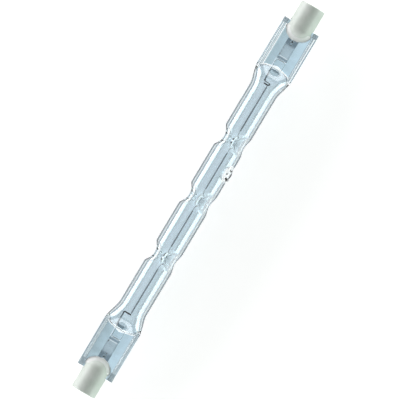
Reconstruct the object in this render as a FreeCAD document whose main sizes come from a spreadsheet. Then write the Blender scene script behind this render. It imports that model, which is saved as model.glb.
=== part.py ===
import FreeCAD, Part
import math
import os
import Sketcher

# A double-ended linear halogen lamp with a recessed contact in a ceramic cap at each end.
# X runs along the lamp, Y lies in the plane of the two flat pinches and Z is square to
# them. The pieces are drawn about the axis of the lamp and then lifted onto the surface
# that the lamp lies on.

os.makedirs("parts", exist_ok=True)
doc = FreeCAD.newDocument("linear_lamp")

# Driving dimensions, in millimetres and degrees
DIMENSIONS = (
    ("lamp_length", 118.0, "over the faces of both caps"),
    ("cap_diameter", 7.0, "ceramic cap"),
    ("cap_reach", 10.0, "cap face to the crown of its domed end"),
    ("cap_shank", 6.0, "cap face to the end of the pinch"),
    ("cap_edge", 0.3, "bevel round the cap face"),
    ("recess_diameter", 4.2, "contact recess in the cap face"),
    ("recess_depth", 1.9, "cap face to the contact"),
    ("seat_diameter", 3.7, "seat of the contact at the bottom of the recess"),
    ("contact_thickness", 0.6, "contact button"),
    ("contact_clearance", 0.05, "button to the wall of its seat"),
    ("contact_edge", 0.15, "bevel round the contact button"),
    ("cement_layer", 0.2, "cement between the pinch and the slot of the cap"),
    ("cement_setback", 0.12, "cement behind the skin of the cap"),
    ("tube_diameter", 8.0, "quartz tube"),
    ("tube_wall", 0.9, "quartz tube"),
    ("pinch_width", 10.5, "over the rails of a pinch"),
    ("pinch_length", 14.6, "flat part of a pinch"),
    ("web_thickness", 2.0, "flat of a pinch, between its rails"),
    ("rail_width", 1.0, "raised rail along each edge of a pinch"),
    ("rail_rise", 0.45, "rail above the flat, on each face"),
    ("rail_bevel", 0.2, "outer corners of a rail"),
    ("rail_run_in", 4.0, "length in which a rail grows out of the tube"),
    ("rail_root", 1.65, "how far the start of a rail lies inside the pinch edge"),
    ("flare_length", 5.4, "tube widening up to the pinch"),
    ("flare_step", 0.15, "widest flare inside the pinch edge"),
    ("shoulder_start", 2.4, "closing shoulder begins this far before the pinch"),
    ("shoulder_overlap", 2.6, "closing shoulder ends this far over the pinch"),
    ("shoulder_tip", 0.6, "half height of the shoulder where it ends inside the flat"),
    ("shoulder_round", 3.4, "rounding in of the shoulder over the pinch, if it ran on"),
    ("void_lead", 0.6, "the void starts to close this far before the shoulder"),
    ("void_overlap", 1.3, "the void ends this far over the pinch"),
    ("void_tip", 0.25, "half height of the void at its end"),
    ("void_round", 3.0, "rounding in of the end of the void, if it ran on"),
    ("crimp_spacing", 17.7, "between neighbouring crimps"),
    ("crimp_length", 6.4, "one crimp, along the tube"),
    ("crimp_draw", 0.55, "lobes between the dimples, drawn in"),
    ("crimp_floor", 0.95, "quartz under the floor of a dimple"),
    ("crimp_bore", 0.7, "free way left between the floors of the dimples"),
    ("crimp_spread", 22.0, "angular spread of a dimple outside"),
    ("crimp_spread_inside", 32.0, "angular spread of a dimple inside"),
    ("crimp_ease", 0.5, "the dimple is longer by this at each end inside"),
    ("tip_position", 9.2, "exhaust tip from the middle of the tube"),
    ("tip_angle", 143.0, "exhaust tip round the tube, from Y towards Z"),
    ("tip_length", 4.4, "exhaust tip along the tube"),
    ("tip_width", 3.2, "exhaust tip round the tube"),
    ("tip_rise", 1.3, "exhaust tip above the tube"),
    ("tip_nub_diameter", 1.5, "sealed-off end of the exhaust tip"),
    ("tip_nub_sunk", 0.4, "centre of the sealed-off end below the crown of the tip"),
    ("coil_diameter", 0.5, "coiled filament, over its turns"),
    ("tail_diameter", 0.24, "straight filament wire in the crimps"),
    ("tail_length", 6.4, "straight filament wire at one crimp"),
    ("lead_diameter", 0.4, "inner lead"),
    ("lead_reach", 3.3, "cross arm of an inner lead, into the tube"),
    ("lead_past_axis", 0.35, "cross arm past the axis of the lamp"),
    ("lead_bend", 0.22, "bend of an inner lead starts this far before its corner"),
    ("lead_lap", 1.5, "inner lead on its foil"),
    ("lead_straight", 1.6, "inner lead straight this far past the pinch"),
    ("lead_flat", 0.2, "share of a lead's radius pressed flat on the foil"),
    ("left_arm", 1.6, "length of the left cross arm above the axis"),
    ("hook_arm", 1.05, "length of the right hook above the axis"),
    ("hook_width", 0.85, "between the two arms of the right hook"),
    ("foil_gap", 4.1, "start of the pinch to the seal foil"),
    ("foil_length", 8.0, "seal foil"),
    ("foil_width", 3.0, "seal foil"),
    ("foil_thickness", 0.04, "seal foil"),
    ("post_diameter", 0.7, "outer lead"),
    ("post_lap", 2.8, "outer lead on its foil"),
    ("post_clearance", 0.1, "outer lead to the bore of the cap"),
)

sheet = doc.addObject("Spreadsheet::Sheet", "dims")
for row, (alias, size, meaning) in enumerate(DIMENSIONS, start=1):
    sheet.set(f"A{row}", meaning)
    sheet.set(f"B{row}", str(size))
    sheet.setAlias(f"B{row}", alias)
doc.recompute()


def dim(alias):
    """One driving dimension, as the sheet holds it."""
    return float(sheet.get(alias))


CRIMP_PLACES = (-1, 0, 1)  # crimps, in spacings from the middle of the tube
DIMPLES = 3  # dimples round one crimp
SKIN_CORNERS = 36  # corners of a section of the quartz, outside
VOID_CORNERS = 18  # corners of a section of the quartz, inside
TIP_CORNERS = 16  # corners of a section of the exhaust tip
SWELLING_SLOPES = (-60, -30, 0, 25, 50)  # sections of the tip's swelling, in degrees
NUB_SLOPES = (10, 45, 75)  # sections of the nub on it, in degrees
CRIMP_STEPS = 8  # steps along one crimp
SHOULDER_STEPS = 8  # steps along one closing shoulder
SHARP_BEND = 0.9  # a bend is gentle, and gets no chord, above this cosine of its turn
FLAT_WITHIN = 1e-7  # a facet of four corners is flat when its last one is this close, in mm
ENDS = ((-1, "left"), (1, "right"))

AXIS_X = FreeCAD.Vector(1, 0, 0)
AXIS_Y = FreeCAD.Vector(0, 1, 0)
AXIS_Z = FreeCAD.Vector(0, 0, 1)

# Places along the right half of the lamp. The left half is the same, turned about Z.
half_length = dim("lamp_length") / 2
pinch_end = half_length - dim("cap_shank")
pinch_start = pinch_end - dim("pinch_length")
flare_from = pinch_start - dim("flare_length")
shoulder_from = pinch_start - dim("shoulder_start")
shoulder_to = pinch_start + dim("shoulder_overlap")
void_to = pinch_start + dim("void_overlap")
foil_from = pinch_start + dim("foil_gap")
foil_to = foil_from + dim("foil_length")
arm_at = pinch_start - dim("lead_reach")
filament_half = arm_at - dim("lead_diameter") / 2

tube_radius = dim("tube_diameter") / 2
bore_radius = tube_radius - dim("tube_wall")
pinch_half = dim("pinch_width") / 2
web_half = dim("web_thickness") / 2
rail_half = web_half + dim("rail_rise")
flare_half = pinch_half - dim("flare_step")

# The same places as expressions, for the pieces that follow the sheet by themselves
FACE = "dims.lamp_length / 2"
PINCH_END = f"({FACE} - dims.cap_shank)"
PINCH_START = f"({PINCH_END} - dims.pinch_length)"
FOIL_FROM = f"({PINCH_START} + dims.foil_gap)"
CONTACT_FACE = f"({FACE} - dims.recess_depth)"
CONTACT_BACK = f"({CONTACT_FACE} - dims.contact_thickness)"
CAP_RADIUS = "dims.cap_diameter / 2"
DOME_LENGTH = "(dims.cap_reach - dims.cap_shank)"
DOME_RADIUS = f"(({DOME_LENGTH} ^ 2 + ({CAP_RADIUS}) ^ 2) / (2 * {DOME_LENGTH}))"
DOME_CENTRE = f"({FACE} - dims.cap_reach + {DOME_RADIUS})"
SLOT_HALF = "(dims.web_thickness / 2 + dims.cement_layer)"
POST_OFFSET = "(dims.foil_thickness / 2 + dims.post_diameter / 2 * (1 - dims.lead_flat))"
POST_BORE = f"({POST_OFFSET} + dims.post_diameter / 2 + dims.post_clearance)"

# At rest the lamp lies on its tube with both pinches level: the flares beside the pinches
# are wider than they are high, so the lamp rolls back when it is turned.
REST = FreeCAD.Placement(FreeCAD.Vector(0, 0, tube_radius), FreeCAD.Rotation())


def end_turn(side):
    """Placement that brings a piece drawn for the right end to its own end."""
    return FreeCAD.Placement(
        FreeCAD.Vector(0, 0, 0), FreeCAD.Rotation(AXIS_Z, 0 if side > 0 else 180)
    )


def bind(item, **rules):
    """Bind properties of a document object to expressions on the sheet."""
    for name, rule in rules.items():
        item.setExpression(name, rule)
    return item


def outline(name, shape):
    """A wire or solid worked out from the sheet, kept as an object of its own."""
    item = doc.addObject("Part::Feature", name)
    item.Shape = shape
    return item


def loft(name, sections):
    """A ruled solid through sections."""
    item = doc.addObject("Part::Loft", name)
    item.Sections = sections
    item.Solid = True
    item.Ruled = True
    return item


def fused(name, shapes):
    """One solid from several."""
    item = doc.addObject("Part::MultiFuse", name)
    item.Shapes = shapes
    return item


def cut(name, base, tool):
    """One solid less another."""
    item = doc.addObject("Part::Cut", name)
    item.Base = base
    item.Tool = tool
    return item


def smooth_step(share):
    """0 to 1 with level ends."""
    share = min(max(share, 0.0), 1.0)
    return share * share * (3 - 2 * share)


# Sections of the quartz, outside and inside

def ring(corners, x, half_width, half_height, draw=0.0, depth=0.0, spread=1.0):
    """Corners of a section at x: an ellipse drawn in all round, with dimples of depth."""
    places = []
    for step in range(corners):
        degrees = 360.0 * step / corners
        pitch = 360.0 / DIMPLES
        off = min(degrees % pitch, pitch - degrees % pitch)
        inward = draw + depth * math.exp(-((off / spread) ** 2))
        angle = math.radians(degrees)
        across = (half_width - inward) * math.cos(angle)
        up = (half_height - inward) * math.sin(angle)
        places.append(FreeCAD.Vector(x, across, up))
    return places


def faceted(name, rings):
    """A closed solid of flat facets through rings that have as many corners each."""
    faces = [Part.Face(Part.makePolygon(end + end[:1])) for end in (rings[0], rings[-1])]
    for near, far in zip(rings, rings[1:]):
        for step in range(len(near)):
            facet = [near[step - 1], near[step], far[step], far[step - 1]]
            square = (facet[1] - facet[0]).cross(facet[2] - facet[0]).normalize()
            if abs(square.dot(facet[3] - facet[0])) < FLAT_WITHIN:
                halves = [facet]
            else:
                halves = [facet[:3], facet[2:] + facet[:1]]
            faces += [Part.Face(Part.makePolygon(half + half[:1])) for half in halves]
    shell = Part.makeShell(faces)
    shell.sewShape()
    return outline(name, Part.makeSolid(shell))


def tube_flare(x):
    """Half width of the tube, from round to the width of the pinch."""
    widening = smooth_step((x - flare_from) / dim("flare_length"))
    return (flare_half - tube_radius) * widening


def shoulder_section(x):
    """Half width and half height of the quartz outside, this far from the middle."""
    past = max(x - pinch_start, 0.0) / dim("shoulder_round")
    closing = smooth_step((x - shoulder_from) / (shoulder_to - shoulder_from))
    half_height = tube_radius - (tube_radius - dim("shoulder_tip")) * closing
    return (tube_radius + tube_flare(x)) * math.sqrt(1 - past * past), half_height


def void_section(x):
    """Half width and half height of the void, this far from the middle."""
    past = max(x - (pinch_start - dim("void_overlap")), 0.0) / dim("void_round")
    closing_from = shoulder_from - dim("void_lead")
    closing = smooth_step((x - closing_from) / (void_to - closing_from))
    half_height = bore_radius - (bore_radius - dim("void_tip")) * closing
    return (bore_radius + tube_flare(x)) * math.sqrt(1 - past * past), half_height


def crimped_tube(name, corners, section, end_x, half_crimp, depth, spread):
    """The whole tube as one solid: straight lengths, crimps and both closing ends."""
    closing = [
        flare_from + (end_x - flare_from) * step / SHOULDER_STEPS
        for step in range(SHOULDER_STEPS + 1)
    ]
    places = [-x for x in reversed(closing)]
    for place in CRIMP_PLACES:
        middle = place * dim("crimp_spacing")
        places += [
            middle + half_crimp * (2.0 * step / CRIMP_STEPS - 1)
            for step in range(CRIMP_STEPS + 1)
        ]
    places += closing
    rings = []
    for x in places:
        off = min(abs(x - place * dim("crimp_spacing")) for place in CRIMP_PLACES)
        window = 0.5 * (1 + math.cos(math.pi * min(off / half_crimp, 1.0)))
        draw = dim("crimp_draw") * window
        rings.append(ring(corners, x, *section(abs(x)), draw, depth * window, spread))
    return faceted(name, rings)


# Flat pinches with a raised rail along each edge

def rail_section(x, half_width):
    """Section of a pinch at x: a flat web between two rails with bevelled outer corners."""
    bevel = dim("rail_bevel")
    inner = half_width - dim("rail_width")
    quarter = [
        (half_width, rail_half - bevel),
        (half_width - bevel, rail_half),
        (inner, rail_half),
        (inner - dim("rail_rise"), web_half),
    ]
    half = quarter + [(-across, up) for across, up in reversed(quarter)]
    whole = half + [(across, -up) for across, up in reversed(half)]
    corners = [FreeCAD.Vector(x, across, up) for across, up in whole]
    return Part.makePolygon(corners + corners[:1])


def pinch(side, end):
    """One flat pinch, whose rails grow out of the tube."""
    full_from = pinch_start + dim("flare_step")
    stations = (
        (full_from - dim("rail_run_in"), pinch_half - dim("rail_root")),
        (full_from, pinch_half),
        (pinch_end, pinch_half),
    )
    sections = [
        outline(f"pinch_{end}_{count}", rail_section(side * x, half_width))
        for count, (x, half_width) in enumerate(stations)
    ]
    return loft(f"pinch_{end}", sections)


def exhaust_tip():
    """The melted-off exhaust tube: a low swelling with a small nub."""
    nub = dim("tip_nub_diameter") / 2
    crown = dim("tip_rise") - dim("tip_nub_sunk")
    forms = (
        (SWELLING_SLOPES, dim("tip_length") / 2, dim("tip_width") / 2, dim("tip_rise"), 0.0),
        (NUB_SLOPES, nub, nub, nub, crown),
    )
    rings = []
    for slopes, along, across, up, centre in forms:
        for slope in slopes:
            level = math.cos(math.radians(slope))
            height = centre + up * math.sin(math.radians(slope))
            turns = [2 * math.pi * step / TIP_CORNERS for step in range(TIP_CORNERS)]
            rings.append([
                FreeCAD.Vector(
                    along * level * math.cos(turn), across * level * math.sin(turn), height
                )
                for turn in turns
            ])
    tip = faceted("exhaust_tip", rings)
    upright = FreeCAD.Rotation(AXIS_X, dim("tip_angle") - 90)
    at = FreeCAD.Vector(dim("tip_position"), 0, 0)
    tip.Placement = FreeCAD.Placement(at + upright.multVec(AXIS_Z) * tube_radius, upright)
    return tip


# Wires and foils

def post_rod(name, side):
    """Outer lead as a plain rod, from its lap on the foil to the back of the contact."""
    start = foil_to - dim("post_lap")
    rod = doc.addObject("Part::Cylinder", name)
    bind(
        rod,
        Radius="dims.post_diameter / 2",
        Height=f"{CONTACT_BACK} - ({FOIL_FROM} + dims.foil_length - dims.post_lap)",
    )
    offset = dim("foil_thickness") / 2 + dim("post_diameter") / 2 * (1 - dim("lead_flat"))
    rod.Placement = end_turn(side) * FreeCAD.Placement(
        FreeCAD.Vector(start, 0, offset), FreeCAD.Rotation(AXIS_Y, 90)
    )
    return rod


def foil_blank(name, side):
    """Seal foil as a plain strip."""
    strip = doc.addObject("Part::Box", name)
    bind(
        strip,
        Length="dims.foil_length",
        Width="dims.foil_width",
        Height="dims.foil_thickness",
    )
    strip.Placement = end_turn(side) * FreeCAD.Placement(
        FreeCAD.Vector(foil_from, -dim("foil_width") / 2, -dim("foil_thickness") / 2),
        FreeCAD.Rotation(),
    )
    return strip


def bent_wire(points, setback):
    """A path of straight runs with one short chord across each sharp bend."""
    route = [points[0]]
    for before, corner, after in zip(points, points[1:], points[2:]):
        back = (before - corner).normalize()
        ahead = (after - corner).normalize()
        if back.dot(ahead) < -SHARP_BEND:
            route.append(corner)
        else:
            route += [corner + back * setback, corner + ahead * setback]
    return Part.makePolygon(route + [points[-1]])


def lead_wire(name, side):
    """Inner lead: from its lap on the foil to the cross arm that holds the filament.

    The left one ends in a plain arm, the right one in a hook open towards +Y.
    """
    lift = dim("foil_thickness") / 2 + dim("lead_diameter") / 2 * (1 - dim("lead_flat"))
    edge = dim("foil_width") / 2 - dim("lead_diameter") / 2
    past = -dim("lead_past_axis")
    route = [
        (foil_from + dim("lead_lap"), edge),
        (pinch_start + dim("lead_straight"), edge),
    ]
    if side < 0:
        route += [(arm_at, dim("left_arm")), (arm_at, past)]
    else:
        far = arm_at + dim("hook_width")
        route += [(far, dim("hook_arm")), (far, past), (arm_at, past)]
        route += [(arm_at, dim("hook_arm"))]
    points = [FreeCAD.Vector(x, side * y, lift) for x, y in route]
    path = outline(f"{name}_path", bent_wire(points, dim("lead_bend")))
    profile = bind(
        doc.addObject("Part::Circle", f"{name}_section"), Radius="dims.lead_diameter / 2"
    )
    profile.Placement = FreeCAD.Placement(points[0], FreeCAD.Rotation(AXIS_Y, -90))
    wire = doc.addObject("Part::Sweep", name)
    wire.Sections = [profile]
    wire.Spine = (path, [f"Edge{count + 1}" for count in range(len(path.Shape.Edges))])
    wire.Solid = True
    wire.Frenet = False
    wire.Transition = "Right corner"
    wire.Placement = end_turn(side)
    return wire


# Quartz envelope

half_crimp = dim("crimp_length") / 2
outer_depth = (
    tube_radius - dim("crimp_draw") - dim("crimp_bore") / 2 - dim("crimp_floor")
)
inner_depth = bore_radius - dim("crimp_draw") - dim("crimp_bore") / 2
skin = crimped_tube(
    "skin", SKIN_CORNERS, shoulder_section, shoulder_to, half_crimp, outer_depth,
    dim("crimp_spread"),
)
void = crimped_tube(
    "void", VOID_CORNERS, void_section, void_to, half_crimp + dim("crimp_ease"),
    inner_depth, dim("crimp_spread_inside"),
)
quartz = fused("quartz", [skin] + [pinch(*end) for end in ENDS] + [exhaust_tip()])
cavities = [void]
for side, end in ENDS:
    cavities += [
        foil_blank(f"foil_cavity_{end}", side),
        post_rod(f"post_cavity_{end}", side),
        lead_wire(f"lead_cavity_{end}", side),
    ]
quartz_envelope = cut("quartz_envelope", quartz, fused("cavities", cavities))

# Filament: coiled lengths between the crimps on one straight wire

core = doc.addObject("Part::Cylinder", "filament_core")
bind(
    core,
    Radius="dims.tail_diameter / 2",
    Height=f"2 * ({PINCH_START} - dims.lead_reach - dims.lead_diameter / 2)",
)
core.Placement = FreeCAD.Placement(
    FreeCAD.Vector(-filament_half, 0, 0), FreeCAD.Rotation(AXIS_Y, 90)
)
coils = [core]
coil_edges = [-filament_half]
for place in CRIMP_PLACES:
    middle = place * dim("crimp_spacing")
    coil_edges += [middle - dim("tail_length") / 2, middle + dim("tail_length") / 2]
coil_edges.append(filament_half)
for count in range(0, len(coil_edges), 2):
    start, finish = coil_edges[count:count + 2]
    coil = doc.addObject("Part::Cylinder", f"coil_{count // 2}")
    coil.Height = finish - start
    bind(coil, Radius="dims.coil_diameter / 2")
    coil.Placement = FreeCAD.Placement(
        FreeCAD.Vector(start, 0, 0), FreeCAD.Rotation(AXIS_Y, 90)
    )
    coils.append(coil)
filament_coil = fused("filament_coil", coils)


# Pieces drawn as sketches in the frame of one end

def body(label):
    """An empty body and a way to reach its origin planes."""
    item = doc.addObject("PartDesign::Body", label)
    item.Label = label
    return item


def sketch_on(owner, role, name):
    """A sketch on one of the body's own origin planes."""
    item = owner.newObject("Sketcher::SketchObject", name)
    plane = next(part for part in owner.Origin.OriginFeatures if part.Role == role)
    item.AttachmentSupport = [(plane, "")]
    item.MapMode = "FlatFace"
    return item


def closed_profile(sketch, corners, bow=None):
    """A closed outline whose corners are bound to (across, up) expressions.

    bow is (index, centre across): the side from that corner to the next is an arc about a
    centre on the horizontal axis, and the corner's own distance across is left to it.
    """
    places = [
        FreeCAD.Vector(*(float(sketch.evalExpression(rule)) for rule in corner), 0)
        for corner in corners
    ]
    for index, here in enumerate(places):
        there = places[(index + 1) % len(places)]
        if bow and bow[0] == index:
            centre = FreeCAD.Vector(float(sketch.evalExpression(bow[1])), 0, 0)
            radius = (there - centre).Length
            low = math.atan2(there.y - centre.y, there.x - centre.x)
            high = math.atan2(here.y - centre.y, here.x - centre.x)
            circle = Part.Circle(centre, AXIS_Z, radius)
            sketch.addGeometry(Part.ArcOfCircle(circle, low, high), False)
        else:
            sketch.addGeometry(Part.LineSegment(here, there), False)
    for index in range(len(places)):
        after = (index + 1) % len(places)
        finish = 1 if bow and bow[0] == index else 2
        start = 2 if bow and bow[0] == after else 1
        sketch.addConstraint(
            Sketcher.Constraint("Coincident", index, finish, after, start)
        )
    for index, corner in enumerate(corners):
        start = 2 if bow and bow[0] == index else 1
        for kind, rule, value in zip(("DistanceX", "DistanceY"), corner, places[index]):
            arc_gives = bow and (
                (bow[0] == index and kind == "DistanceX")
                or ((bow[0] + 1) % len(places) == index and kind == "DistanceY")
            )
            if arc_gives:
                continue
            number = sketch.addConstraint(
                Sketcher.Constraint(kind, -1, 1, index, start, value)
            )
            sketch.setExpression(f"Constraints[{number}]", rule)
    if bow:
        index, centre_rule, radius_rule = bow
        sketch.addConstraint(Sketcher.Constraint("PointOnObject", index, 3, -1))
        number = sketch.addConstraint(
            Sketcher.Constraint("DistanceX", -1, 1, index, 3, centre.x)
        )
        sketch.setExpression(f"Constraints[{number}]", centre_rule)
        number = sketch.addConstraint(Sketcher.Constraint("Radius", index, radius))
        sketch.setExpression(f"Constraints[{number}]", radius_rule)


def revolved(owner, sketch, name):
    """Full turn of a sketch about the axis of the lamp."""
    turn = owner.newObject("PartDesign::Revolution", name)
    turn.Profile = sketch
    turn.ReferenceAxis = (sketch, ["H_Axis"])
    turn.Angle = 360.0
    owner.Tip = turn
    return turn


def ceramic_cap(side, end):
    """Ceramic cap: domed at the pinch and slotted over it, with a recess for the contact."""
    cap = body(f"ceramic_cap_{end}")
    section = sketch_on(cap, "XY_Plane", f"cap_section_{end}")
    dome_foot = f"{DOME_CENTRE} - sqrt({DOME_RADIUS} ^ 2 - {POST_BORE} ^ 2)"
    corners = [
        (dome_foot, POST_BORE),
        (PINCH_END, CAP_RADIUS),
        (f"{FACE} - dims.cap_edge", CAP_RADIUS),
        (FACE, f"{CAP_RADIUS} - dims.cap_edge"),
        (FACE, "dims.recess_diameter / 2"),
        (CONTACT_FACE, "dims.recess_diameter / 2"),
        (CONTACT_FACE, "dims.seat_diameter / 2"),
        (CONTACT_BACK, "dims.seat_diameter / 2"),
        (CONTACT_BACK, POST_BORE),
    ]
    closed_profile(section, corners, (0, DOME_CENTRE, DOME_RADIUS))
    revolved(cap, section, f"cap_turned_{end}")
    slot = sketch_on(cap, "XZ_Plane", f"cap_slot_section_{end}")
    slot_from = f"{FACE} - dims.cap_reach - dims.cement_layer"
    slot_to = f"{PINCH_END} + dims.cement_layer"
    closed_profile(
        slot,
        [
            (slot_from, f"-{SLOT_HALF}"),
            (slot_to, f"-{SLOT_HALF}"),
            (slot_to, SLOT_HALF),
            (slot_from, SLOT_HALF),
        ],
    )
    opening = cap.newObject("PartDesign::Pocket", f"cap_slot_{end}")
    opening.Profile = slot
    opening.Type = "ThroughAll"
    opening.SideType = "Symmetric"
    cap.Tip = opening
    cap.Placement = REST * end_turn(side)
    return cap


def contact(side, end):
    """Contact button at the bottom of the recess, with a bevelled face."""
    button = body(f"contact_{end}")
    section = sketch_on(button, "XY_Plane", f"contact_section_{end}")
    radius = "(dims.seat_diameter / 2 - dims.contact_clearance)"
    closed_profile(
        section,
        [
            (CONTACT_BACK, "0"),
            (CONTACT_BACK, radius),
            (f"{CONTACT_FACE} - dims.contact_edge", radius),
            (CONTACT_FACE, f"{radius} - dims.contact_edge"),
            (CONTACT_FACE, "0"),
        ],
    )
    revolved(button, section, f"contact_turned_{end}")
    button.Placement = REST * end_turn(side)
    return button


def seal_foil(side, end):
    """Thin foil that carries the current through the pinch."""
    foil = body(f"seal_foil_{end}")
    plan = sketch_on(foil, "XY_Plane", f"foil_plan_{end}")
    foil_to_rule = f"({FOIL_FROM} + dims.foil_length)"
    closed_profile(
        plan,
        [
            (FOIL_FROM, "-dims.foil_width / 2"),
            (foil_to_rule, "-dims.foil_width / 2"),
            (foil_to_rule, "dims.foil_width / 2"),
            (FOIL_FROM, "dims.foil_width / 2"),
        ],
    )
    sheet_metal = foil.newObject("PartDesign::Pad", f"foil_pad_{end}")
    sheet_metal.Profile = plan
    bind(sheet_metal, Length="dims.foil_thickness")
    sheet_metal.SideType = "Symmetric"
    foil.Tip = sheet_metal
    foil.Placement = REST * end_turn(side)
    return foil


def pressed_on_foil(label, wire, side, end):
    """A wire with a flat where it is welded on the foil."""
    piece = cut(label, wire, foil_blank(f"{label}_flat_{end}", side))
    piece.Placement = REST
    return piece


def cap_cement(side, end):
    """Cement between the pinch and the slot of the cap, just behind the skin of the cap."""
    crown = bind(
        doc.addObject("Part::Cylinder", f"cement_crown_{end}"),
        Radius=f"sqrt(({DOME_RADIUS} - dims.cement_setback) ^ 2 - {SLOT_HALF} ^ 2)",
        Height=f"2 * {SLOT_HALF}",
    )
    dome_length = dim("cap_reach") - dim("cap_shank")
    dome_radius = (dome_length**2 + (dim("cap_diameter") / 2) ** 2) / (2 * dome_length)
    dome_centre = half_length - dim("cap_reach") + dome_radius
    crown.Placement = end_turn(side) * FreeCAD.Placement(
        FreeCAD.Vector(dome_centre, 0, -web_half - dim("cement_layer")), FreeCAD.Rotation()
    )
    slot = doc.addObject("Part::Box", f"cement_slot_{end}")
    bind(
        slot,
        Length="dims.cap_reach - dims.cap_shank + dims.cement_layer",
        Width="dims.cap_diameter",
        Height=f"2 * {SLOT_HALF}",
    )
    slot.Placement = end_turn(side) * FreeCAD.Placement(
        FreeCAD.Vector(
            half_length - dim("cap_reach"),
            -dim("cap_diameter") / 2,
            -web_half - dim("cement_layer"),
        ),
        FreeCAD.Rotation(),
    )
    web = doc.addObject("Part::Box", f"cement_web_{end}")
    bind(
        web,
        Length="dims.cap_reach - dims.cap_shank",
        Width="dims.cap_diameter",
        Height="dims.web_thickness",
    )
    web.Placement = end_turn(side) * FreeCAD.Placement(
        FreeCAD.Vector(
            half_length - dim("cap_reach"), -dim("cap_diameter") / 2, -web_half
        ),
        FreeCAD.Rotation(),
    )
    filling = doc.addObject("Part::Common", f"cement_filling_{end}")
    filling.Base = crown
    filling.Tool = slot
    taken = fused(f"cement_taken_{end}", [web, post_rod(f"cement_bore_{end}", side)])
    cement = cut(f"cap_cement_{end}", filling, taken)
    cement.Placement = REST
    return cement


nodes = [quartz_envelope, filament_coil]
quartz_envelope.Placement = REST
filament_coil.Placement = REST
for side, end in ENDS:
    wire = lead_wire(f"lead_wire_{end}", side)
    rod = post_rod(f"post_rod_{end}", side)
    nodes += [
        pressed_on_foil(f"inner_lead_{end}", wire, side, end),
        seal_foil(side, end),
        pressed_on_foil(f"outer_lead_{end}", rod, side, end),
        ceramic_cap(side, end),
        contact(side, end),
        cap_cement(side, end),
    ]

doc.recompute()
for item in doc.Objects:
    if "Invalid" in item.State or "Error" in item.State:
        raise RuntimeError(f"{item.Label} failed: {item.State}")
for node in nodes:
    shape = node.Shape
    if shape.isNull() or not shape.isValid():
        raise RuntimeError(f"{node.Label} has no valid shape")
    box = shape.BoundBox
    print(
        f"{node.Label}: {len(shape.Solids)} solid, {shape.Volume:.2f} mm3,"
        f" z {box.ZMin:.3f} to {box.ZMax:.3f}"
    )
for node in nodes:
    node.Shape.exportStep(f"parts/{node.Label}.step")
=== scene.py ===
import bpy
import math
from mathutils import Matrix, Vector


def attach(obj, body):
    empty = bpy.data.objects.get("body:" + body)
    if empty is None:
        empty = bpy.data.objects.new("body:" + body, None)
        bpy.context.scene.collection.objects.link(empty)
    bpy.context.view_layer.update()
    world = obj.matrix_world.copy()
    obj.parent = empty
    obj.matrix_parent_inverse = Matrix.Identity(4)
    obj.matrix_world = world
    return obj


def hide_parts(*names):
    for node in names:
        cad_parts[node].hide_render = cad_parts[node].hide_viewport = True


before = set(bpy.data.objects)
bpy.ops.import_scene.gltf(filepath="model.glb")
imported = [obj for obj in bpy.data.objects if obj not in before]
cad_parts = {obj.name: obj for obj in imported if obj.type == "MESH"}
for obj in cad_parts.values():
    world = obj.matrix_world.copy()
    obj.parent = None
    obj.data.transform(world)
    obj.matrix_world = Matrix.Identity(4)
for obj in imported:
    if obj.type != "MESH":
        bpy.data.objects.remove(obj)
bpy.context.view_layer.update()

# Quartz envelope
# One tube of clear fused quartz, drawn and then worked hot: crimped in three places onto the
# filament, flared and pressed flat at each end, and sealed off at the exhaust tip. Sizes are
# in millimetres about the axis of the lamp, with x along it and z up.

AXIS_HEIGHT = 4.0
TUBE_RADIUS = 4.0
BORE_RADIUS = 3.1
BORE_END = 39.66
BORE_SIDES = 96

FLARE_START = 33.0
FLARE_LENGTH = 5.4
FLARE_WIDENING = 1.1

CRIMPS = (-17.7, 0.0, 17.7)
CRIMP_DRAW = 0.55
DIMPLES = 3
STREAKS = 7
STREAK_TWIST = 9
STREAK_DEPTH = 0.05
STREAK_PLACE = 1.7
STREAK_LENGTH = 0.7

TIP_PLACE = 9.5
TIP_ANGLE = math.radians(147)
TIP_HALF_LENGTH = 2.2
TIP_HALF_WIDTH = 1.8
TIP_HEIGHT = 0.7
TIP_FOOT = 1.25
TIP_SLOPE = 0.9
PITS = 9
PIT_RING = (1.7, 1.4)
PIT_DEPTH = 0.2
PIT_SIZE = 0.27
NUB_PLACE = (-1.3, 1.5)
NUB_HEIGHT = 0.35
NUB_SIZE = 0.38

PINCH_END = 53.0
PINCH_HALF = 5.25
WEB_HALF = 1.0
RAIL_HALF = 1.45
RAIL_ROUND = 0.6
RAIL_SLOPE = 0.85
ROUND_STEPS = 11
SLOPE_STEPS = 8
WEB_STEPS = 14
QUARTER_STEPS = ROUND_STEPS + SLOPE_STEPS + WEB_STEPS


def smooth_step(share):
    """0 to 1 with level ends."""
    share = min(max(share, 0.0), 1.0)
    return share * share * (3 - 2 * share)


def crimp(x, angle, half_length, depth, spread):
    """How far the wall is pressed in at x and angle: a drawn-in waist with three dimples.

    Fine streaks run out round the middle of each dimple. spread is in degrees.
    """
    along = min((x - middle for middle in CRIMPS), key=abs)
    if abs(along) >= half_length:
        return 0.0
    window = 0.5 * (1 + math.cos(math.pi * abs(along) / half_length))
    apart = 360 / DIMPLES
    turn = math.degrees(angle) % apart
    away = min(turn, apart - turn)
    hollow = depth * math.exp(-((away / spread) ** 2))
    around = math.radians(turn if turn < apart / 2 else turn - apart) * TUBE_RADIUS
    streak = math.sin(STREAKS * math.atan2(around, along) + STREAK_TWIST * x)
    from_ring = (math.hypot(around, along) - STREAK_PLACE) / STREAK_LENGTH
    hollow += STREAK_DEPTH * streak * math.exp(-(from_ring ** 2))
    return window * (CRIMP_DRAW + hollow)


def flare(x):
    """Widening of the tube towards the pinch."""
    return FLARE_WIDENING * smooth_step((abs(x) - FLARE_START) / FLARE_LENGTH)


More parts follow.
